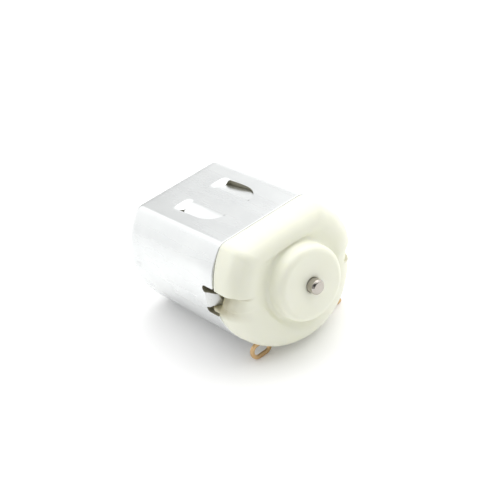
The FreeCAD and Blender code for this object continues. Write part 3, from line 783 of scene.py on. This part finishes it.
def drawn_down(x, y, z):
    """The top flat dips at each window's front, and a dent and a crease mark the near side."""
    if z > FLAT_FROM_Z:
        front = smooth(*(WINDOW_FRONT_X + gap for gap in DRAW_FRONT), x)
        rear = smooth(*(WINDOW_FRONT_X + gap for gap in DRAW_REAR), x)
        across = smooth(*DRAW_INNER_Y, abs(y)) * smooth(*DRAW_OUTER_Y, abs(y))
        z -= DRAW_DEPTH * front * across * rear
    if y > NEAR_SIDE_Y:
        dent = math.hypot((x - DENT_X) / DENT_HALF_LENGTH, (z - DENT_Z) / DENT_HALF_HEIGHT)
        y -= DENT_DEPTH * smooth(1.0, 0.0, dent)
        crease = smooth(CREASE_HALF_WIDTH, 0.0, abs(z - CREASE_Z - CREASE_SLOPE * x))
        y -= CREASE_DEPTH * (crease * smooth(*CREASE_REAR, x) * smooth(*CREASE_FRONT, x))
    return (x, y, z)


def can_rings():
    """Rings over the can's sheet: pilot boss, front, wall back to the rim, and inside again."""
    outline = can_outline(0.0, CAN_BEND)
    inside = can_outline(SHEET, INSIDE_BEND)
    face_edge = can_outline(FRONT_ROUND, FACE_BEND)
    angles = [math.atan2(z, y) for y, z in outline]

    rings = [circle(x, radius, angles) for x, radius in PILOT_MOUTH]
    for i in range(1, PILOT_STEPS + 1):
        a = math.pi / 2 * i / PILOT_STEPS
        rings.append(circle(PILOT_LENGTH - PILOT_EDGE + PILOT_EDGE * math.cos(a),
                            PILOT_RADIUS - PILOT_EDGE + PILOT_EDGE * math.sin(a), angles))
    rings += [circle(x, radius, angles) for x, radius in PILOT_FOOT]
    edge = [(0.0, y, z) for y, z in face_edge]
    for share in (0.15, 0.4, 0.7):
        rings.append([tuple(mix(p, q, share) for p, q in zip(a, b))
                      for a, b in zip(rings[-1], edge)])
    for i in range(FRONT_STEPS + 1):
        a = math.pi / 2 * i / FRONT_STEPS
        share = math.sin(a)
        x = FRONT_ROUND * (math.cos(a) - 1)
        rings.append([(x, mix(p[0], q[0], share), mix(p[1], q[1], share))
                      for p, q in zip(face_edge, outline)])
    steps = spread(-FRONT_ROUND, -5.2, 10)[1:] + spread(-5.2, -8.4, 20) + spread(-8.4, -17.0, 24)
    steps += spread(-17.0, -CAN_LENGTH + RIM_START, 24) + [-CAN_LENGTH + RIM_START]
    for x in steps:
        rings.append([drawn_down(x, y, z) for y, z in outline])
    for gap, scale in RIM_EDGE:
        rings.append([(-CAN_LENGTH + gap, y * scale, z * scale) for y, z in outline])
    rings.append([(-CAN_LENGTH, y * RIM_INSIDE_SCALE, z * RIM_INSIDE_SCALE) for y, z in inside])
    for x in [-CAN_LENGTH + RIM_INSIDE_START] + steps[::-1][1:]:
        if x < -SHEET - 0.3:
            rings.append([drawn_down(x, y, z) for y, z in inside])
    rings.append([(-SHEET - 0.1, y * 0.99, z * 0.99) for y, z in inside])
    rings.append([(-SHEET, y * 0.96, z * 0.96) for y, z in inside])
    rings += [circle(x, radius, angles) for x, radius in PILOT_INSIDE]
    return rings


def make_cutter(name, loop, axis, low, high):
    """A closed prism: loop is (a, b) pairs in the plane across the axis, 1 for Y or 2 for Z."""
    count = len(loop)
    points = []
    for level in (low, high):
        for a, b in loop:
            points.append((a, level, b) if axis == 1 else (a, b, level))
    faces = [tuple(range(count)), tuple(range(2 * count - 1, count - 1, -1))]
    faces += [(i, (i + 1) % count, count + (i + 1) % count, count + i) for i in range(count)]
    cutter = placed(name, facing_out(name, points, faces))
    cutter.data.materials.append(MATERIALS["can_edge"])
    return cutter


def carve(piece, cutters):
    """Cuts the shapes out of the piece and throws them away."""
    for cutter in cutters:
        modifier = piece.modifiers.new(cutter.name, "BOOLEAN")
        modifier.operation = "DIFFERENCE"
        modifier.solver = "EXACT"
        modifier.material_mode = "TRANSFER"
        modifier.object = cutter
    apply_modifiers(piece)
    for cutter in cutters:
        bpy.data.objects.remove(cutter)


def window_loop(side):
    """The window's outline in the top flat, as (x, y)."""
    length = WINDOW_FRONT_X - WINDOW_REAR_X
    xs = [WINDOW_FRONT_X - length * (1 - math.cos(math.pi * i / WINDOW_STEPS)) / 2
          for i in range(WINDOW_STEPS + 1)]
    return [(WINDOW_FRONT_X, side * WINDOW_INNER_Y)] + [(x, side * window_edge(x)) for x in xs]


def slit_loop(middle, half):
    """A slit's outline from beyond the open end to its round inner end, as (x, z)."""
    loop = [(-CAN_LENGTH - 1, middle + half), (-CAN_LENGTH - 1, middle - half)]
    for i in range(SLIT_STEPS + 1):
        a = -math.pi / 2 + math.pi * i / SLIT_STEPS
        loop.append((TAB_ROOT_X + half * math.cos(a), middle + half * math.sin(a)))
    return loop


def bend_tabs(mesh):
    """Turns the strip between each pair of slits in over the cap."""
    for vertex in mesh.vertices:
        x, y, z = (c / MM for c in vertex.co)
        side = side_of(y)
        level = side * z - TAB_Z
        if abs(y) < SLIT_FROM_Y or x > TAB_ROOT_X + 0.2 or abs(level) > TAB_HALF + 0.01:
            continue
        beyond = max(TAB_ROOT_X - x, 0.0)
        turn = (TAB_TURN - TAB_TWIST * level) * smooth(-0.1, 0.5, beyond)
        reach = beyond * TAB_LENGTH / TAB_CUT_LENGTH
        curl = TAB_CURL * level ** 2 * smooth(0.0, 1.5, beyond)
        inner_skin = math.hypot(y, z) < CAN_RADIUS - SHEET / 2
        thinner = TAB_THINNING * smooth(0.0, TAB_CUT_LENGTH, beyond) if inner_skin else 0.0
        x = x + beyond - reach * math.cos(turn)
        y = y - side * (reach * math.sin(turn) - curl - thinner)
        vertex.co = (x * MM, y * MM, z * MM)


def tongue_depth(x, across, side):
    """How far the tongue hangs below the flat, at a distance across from its fold."""
    front = smooth(WINDOW_REAR_X - 0.5, WINDOW_FRONT_X, x)
    slope = math.tan(math.radians(mix(*TONGUE_ANGLES[side], front)))
    return slope * (math.sqrt(across * across + TONGUE_FOLD * TONGUE_FOLD) - TONGUE_FOLD)


def make_tongue(side):
    """The sheet of one window, folded down along its inner edge."""
    long, wide = TONGUE_LONG, TONGUE_WIDE
    top = []
    for i in range(long + 1):
        x = mix(WINDOW_FRONT_X - TONGUE_GAP, WINDOW_REAR_X + TONGUE_GAP, i / long)
        reach = max(window_edge(x) - TONGUE_GAP - WINDOW_INNER_Y, 0.05) + TONGUE_HIDDEN
        for j in range(wide + 1):
            across = reach * j / wide - TONGUE_HIDDEN
            drop = tongue_depth(x, max(across, 0.0), side)
            top.append((x, side * (WINDOW_INNER_Y + across), CAN_HEIGHT - TONGUE_SUNK - drop))
    under = [(x, y, z - SHEET) for x, y, z in top]
    row = wide + 1
    count = len(top)
    faces = []
    for i in range(long):
        for j in range(wide):
            a = i * row + j
            faces.append((a, a + 1, a + row + 1, a + row))
            faces.append((count + a, count + a + row, count + a + row + 1, count + a + 1))
    rim = list(range(row)) + [i * row + wide for i in range(1, long + 1)]
    rim += [long * row + j for j in range(wide - 1, -1, -1)]
    rim += [i * row for i in range(long - 1, 0, -1)]
    for a, b in zip(rim, rim[1:] + rim[:1]):
        faces.append((a, b, count + b, count + a))
    return top + under, faces


def make_can():
    rings = can_rings()
    faces = loop_faces(len(rings[0]), len(rings))
    piece = new_piece(
        "can_shell", joined(rings), faces, "stator", "can_steel", ("motor_can",), RING_CREASE)
    half = SLIT_WIDTH / 2
    cutters = []
    for side in (1, -1):
        cutters.append(make_cutter("window", window_loop(side), 2, CAN_HEIGHT - WINDOW_CUT_BELOW,
                                   CAN_HEIGHT + WINDOW_CUT_ABOVE))
        low, high = sorted((side * SLIT_FROM_Y, side * SLIT_TO_Y))
        for edge in (-1, 1):
            middle = TAB_Z + edge * (TAB_HALF + half)
            loop = [(x, side * z) for x, z in slit_loop(middle, half)]
            cutters.append(make_cutter("slit", loop, 1, low, high))
    carve(piece, cutters)
    # The bent tabs get the darker metal: partly scuffs, partly painted shade of their dimmer
    # reflection
    piece.data.materials.append(MATERIALS["can_tab_scuffed_and_shaded"])
    scuffed_shaded_tab = len(piece.data.materials) - 1
    for face in piece.data.polygons:
        x, y, z = (c / MM for c in face.center)
        on_tab = abs(y) > SLIT_FROM_Y and x < TAB_ROOT_X and abs(side_of(y) * z - TAB_Z) < TAB_HALF
        if on_tab and face.material_index == 0:
            face.material_index = scuffed_shaded_tab
    bend_tabs(piece.data)
    for side, name in ((1, "can_tongue_left"), (-1, "can_tongue_right")):
        points, faces = make_tongue(side)
        new_piece(name, points, faces, "stator", "can_steel")
    shade(piece, math.radians(CAN_CREASE))


# ---------------------------------------------------------------- smaller pieces

def softened(node, edge):
    """A copy of a CAD part's mesh with its flat faces joined and its edges rounded."""
    mesh = frame["nodes"][node].data.copy()
    piece = placed(node + "_finished", mesh)
    bm = bmesh.new()
    bm.from_mesh(mesh)
    bmesh.ops.remove_doubles(bm, verts=bm.verts, dist=JOIN_DISTANCE)
    bmesh.ops.dissolve_limit(bm, angle_limit=JOIN_ANGLE, verts=bm.verts, edges=bm.edges)
    if node == "terminal_right":
        for vertex in bm.verts:
            low = smooth(EYE_SHIFT_START_Z, EYE_SHIFT_FULL_Z, vertex.co.z / MM)
            vertex.co.y -= EYE_SHIFT * MM * low
    bm.to_mesh(mesh)
    bm.free()
    bevel = piece.modifiers.new("edges", "BEVEL")
    bevel.width = edge * MM
    bevel.segments = BEVEL_SEGMENTS
    bevel.limit_method = "ANGLE"
    bevel.angle_limit = BEVEL_ANGLE
    bevel.use_clamp_overlap = True
    apply_modifiers(piece)
    shade(piece, BEVEL_ANGLE)
    dress(piece, SLOTS[node])
    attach(piece, BODY_OF[node])
    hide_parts(node)


# How wide each part's edges are rounded, in millimetres
EDGES = {
    "front_bearing": 0.12, "magnet_left": 0.25, "magnet_right": 0.25, "magnet_spring": 0.08,
    "terminal_left": 0.09, "terminal_right": 0.09, "brush_arm_left": 0.05, "brush_arm_right": 0.05,
    "brush_left": 0.08, "brush_right": 0.08, "core_sheets": 0.04,
    "core_insulator_front": 0.1, "core_insulator_rear": 0.1, "commutator_barrel": 0.08,
    "commutator_segment_1": 0.06, "commutator_segment_2": 0.06, "commutator_segment_3": 0.06,
    "commutator_clamp_ring": 0.1, "front_spacer": 0.15, "thrust_washer_front": 0.06,
    "thrust_washer_rear": 0.06,
}


def tube(path, radius, sides):
    """Points and faces of a closed tube round a closed path of (x, y, z) points."""
    count = len(path)
    points = []
    for i, place in enumerate(path):
        here = Vector(place)
        along = (Vector(path[(i + 1) % count]) - Vector(path[i - 1])).normalized()
        outward = along.cross(Vector((0, 1, 0))).normalized()
        upward = outward.cross(along)
        for k in range(sides):
            a = 2 * math.pi * k / sides
            points.append(tuple(here + radius * (math.cos(a) * outward + math.sin(a) * upward)))
    return points, loop_faces(sides, count)


def turn_path(level, half_long, half_wide, corner):
    """One turn of wire round a pole's neck, as a rounded oblong at height level."""
    path = []
    for cx, cz, start in ((1, 1, 0.0), (-1, 1, 0.5), (-1, -1, 1.0), (1, -1, 1.5)):
        straight = cx * (half_long - corner)
        for i in range(COIL_STEPS + 1):
            a = math.pi * (start + i / (2 * COIL_STEPS))
            path.append((COIL_MIDDLE_X + straight + corner * math.cos(a), level,
                         cz * (half_wide - corner) + corner * math.sin(a)))
        if cz * cx > 0:
            for i in range(1, COIL_STEPS):
                x = COIL_MIDDLE_X + straight * (1 - 2 * i / COIL_STEPS)
                path.append((x, level, cz * half_wide))
    return path


def make_winding(number, turn):
    """Enamelled wire in turns side by side, several layers deep at the two ends of the stack."""
    points, faces = [], []
    wire = WIRE_RADIUS
    levels = int((COIL_TOP - COIL_BOTTOM - 2 * wire) / (2 * wire)) + 1
    for step in range(levels):
        level = COIL_BOTTOM + wire + 2 * wire * step
        room = math.sqrt(COIL_TOP ** 2 - (level + wire) ** 2) if level + wire < COIL_TOP else 0.0
        room = min(COIL_HALF_WIDTH, room) - wire
        layers = COIL_LAYERS if step in (0, levels - 1) else 1
        for layer in range(layers):
            half_wide = room - 2 * wire * layer
            if half_wide < COIL_NECK + wire:
                continue
            half_long = COIL_HALF_LENGTH - wire - 2 * wire * layer
            corner = max(COIL_CORNER - 2 * wire * layer, COIL_CORNER_LEAST)
            path = turn_path(level, half_long, half_wide, corner)
            new_points, new_faces = tube(path, wire * WIRE_SHOWN, WIRE_SIDES)
            offset = len(points)
            points += [spun_point(p, turn) for p in new_points]
            faces += [tuple(offset + v for v in face) for face in new_faces]
    node = "winding_" + str(number)
    new_piece(
        node + "_turns", points, faces, BODY_OF[node], SLOTS[node], (node,), WIRE_CREASE)


def spun_point(place, degrees):
    """A point turned about the shaft axis."""
    x, y, z = place
    a = math.radians(degrees)
    return (x, y * math.cos(a) - z * math.sin(a), y * math.sin(a) + z * math.cos(a))


# (x, radius) of the shaft, from the middle of its rear end to the middle of its output end
SHAFT_PROFILE = (
    (-28.57, 0.0), (-28.57, 0.35), (-28.6, 0.45), (-28.6, 0.68), (-28.585, 0.73), (-28.55, 0.775),
    (-28.38, 0.945), (-28.33, 0.98), (-28.25, 1.0), (-20.0, 1.0), (-10.0, 1.0), (1.0, 1.0),
    (1.66, 1.0), (1.7, 0.98), (1.72, 0.86), (1.76, 0.83), (2.24, 0.83), (2.28, 0.86), (2.3, 0.98),
    (2.34, 1.0), (5.5, 1.0), (9.1, 1.0), (9.17, 0.985), (9.36, 0.86), (9.39, 0.82), (9.4, 0.78),
    (9.4, 0.3), (9.37, 0.0),
)


def make_shaft():
    """Ground steel rod with a broad rounded chamfer at each end and an oil groove."""
    sides = SHAFT_SIDES
    angles = [2 * math.pi * k / sides for k in range(sides)]
    points = joined([circle(x, radius, angles) for x, radius in SHAFT_PROFILE[1:-1]])
    faces = loop_faces(sides, len(SHAFT_PROFILE) - 2, False)
    for end, ring in ((0, 0), (-1, len(SHAFT_PROFILE) - 3)):
        centre = len(points)
        points.append((SHAFT_PROFILE[end][0], 0.0, 0.0))
        faces += [(ring * sides + k, ring * sides + (k + 1) % sides, centre) for k in range(sides)]
    new_piece("shaft_ground", points, faces, "rotor", "shaft_steel", ("shaft",), RING_CREASE)


def make_small_pieces():
    make_shaft()
    for node, edge in EDGES.items():
        softened(node, edge)
    for number, turn in ((1, 90), (2, 210), (3, 330)):
        make_winding(number, turn)


# ---------------------------------------------------------------- camera, light and floor

def add_camera():
    data = bpy.data.cameras.new("camera")
    data.lens = CAMERA_LENS
    data.sensor_width = 36.0
    data.clip_start = 0.001
    camera = placed("camera", data)
    forward = Vector((
        math.cos(CAMERA_DOWN) * math.cos(CAMERA_HEADING),
        math.cos(CAMERA_DOWN) * math.sin(CAMERA_HEADING),
        -math.sin(CAMERA_DOWN),
    ))
    right = forward.cross(Vector((0, 0, 1))).normalized()
    up = right.cross(forward)
    turn = Matrix.Rotation(CAMERA_ROLL, 3, forward)
    right = turn @ right
    up = turn @ up
    basis = Matrix((right, up, -forward)).transposed()
    camera.matrix_world = Matrix.Translation(CAMERA_PLACE) @ basis.to_4x4()
    bpy.context.scene.camera = camera


def add_floor():
    """A plain white floor under the can's front edge and the terminals' lower ends."""
    along = (FLOOR_FRONT - FLOOR_REAR).normalized()
    across = Vector((0, 1, 0))
    corners = [FLOOR_FRONT + along * FLOOR_HALF * a + across * FLOOR_HALF * b
               for a, b in ((-1, -1), (1, -1), (1, 1), (-1, 1))]
    mesh = bpy.data.meshes.new("floor")
    mesh.from_pydata([tuple(c) for c in corners], [], [(0, 1, 2, 3)])
    floor = placed("floor", mesh)
    m = Nodes("floor")
    broad = m.noise(4.0, 2.0)
    m.set(Base_Color=m.blend(broad, rgb(0.93, 0.93, 0.93), rgb(0.95, 0.95, 0.945)), Roughness=0.9)
    m.set(Specular_IOR_Level=0.1, Emission_Color=rgb(1, 1, 1), Emission_Strength=FLOOR_GLOW)
    mesh.materials.append(m.material)


def add_lamp():
    data = bpy.data.lights.new("top", "AREA")
    data.shape = "DISK"
    data.size = LAMP_SIZE
    data.energy = LAMP_POWER
    lamp = placed("top", data)
    lamp.location = LAMP_PLACE
    lamp.rotation_euler = (LAMP_AIM - LAMP_PLACE).to_track_quat("-Z", "Y").to_euler()


def add_world():
    """A pale tent round the motor, with brighter areas and one dark opening."""
    world = bpy.data.worlds.new("world")
    bpy.context.scene.world = world
    world.use_nodes = True
    tree = world.node_tree
    place = tree.nodes.new("ShaderNodeTexCoord")
    total = None
    for aim, start, full, strength in TENT_AREAS:
        toward = tree.nodes.new("ShaderNodeVectorMath")
        toward.operation = "DOT_PRODUCT"
        toward.inputs[1].default_value = Vector(aim).normalized()
        tree.links.new(place.outputs["Generated"], toward.inputs[0])
        level = tree.nodes.new("ShaderNodeMapRange")
        level.interpolation_type = "SMOOTHSTEP"
        limits = {"From Min": start, "From Max": full, "To Min": 0.0, "To Max": strength}
        for socket, value in limits.items():
            level.inputs[socket].default_value = value
        tree.links.new(toward.outputs["Value"], level.inputs["Value"])
        add = tree.nodes.new("ShaderNodeMath")
        add.inputs[0].default_value = TENT_BASE
        if total is not None:
            tree.links.new(total, add.inputs[0])
        tree.links.new(level.outputs["Result"], add.inputs[1])
        total = add.outputs["Value"]
    background = tree.nodes["Background"]
    tree.links.new(total, background.inputs["Strength"])
    background.inputs["Color"].default_value = rgb(1, 1, 1)


MATERIALS = make_materials()
SLOTS = {part["node"]: part["material_slot"] for part in frame["record"]["subparts"]}
BODIES = frame["record"]["behaviour"]["bodies"]
BODY_OF = {node: body for body, nodes in BODIES.items() for node in nodes}
for node_name, node in frame["nodes"].items():
    dress(node, SLOTS[node_name])

add_camera()
add_world()
add_floor()
add_lamp()
bpy.context.scene.view_settings.view_transform = "Standard"
make_end_cap()
make_can()
make_small_pieces()
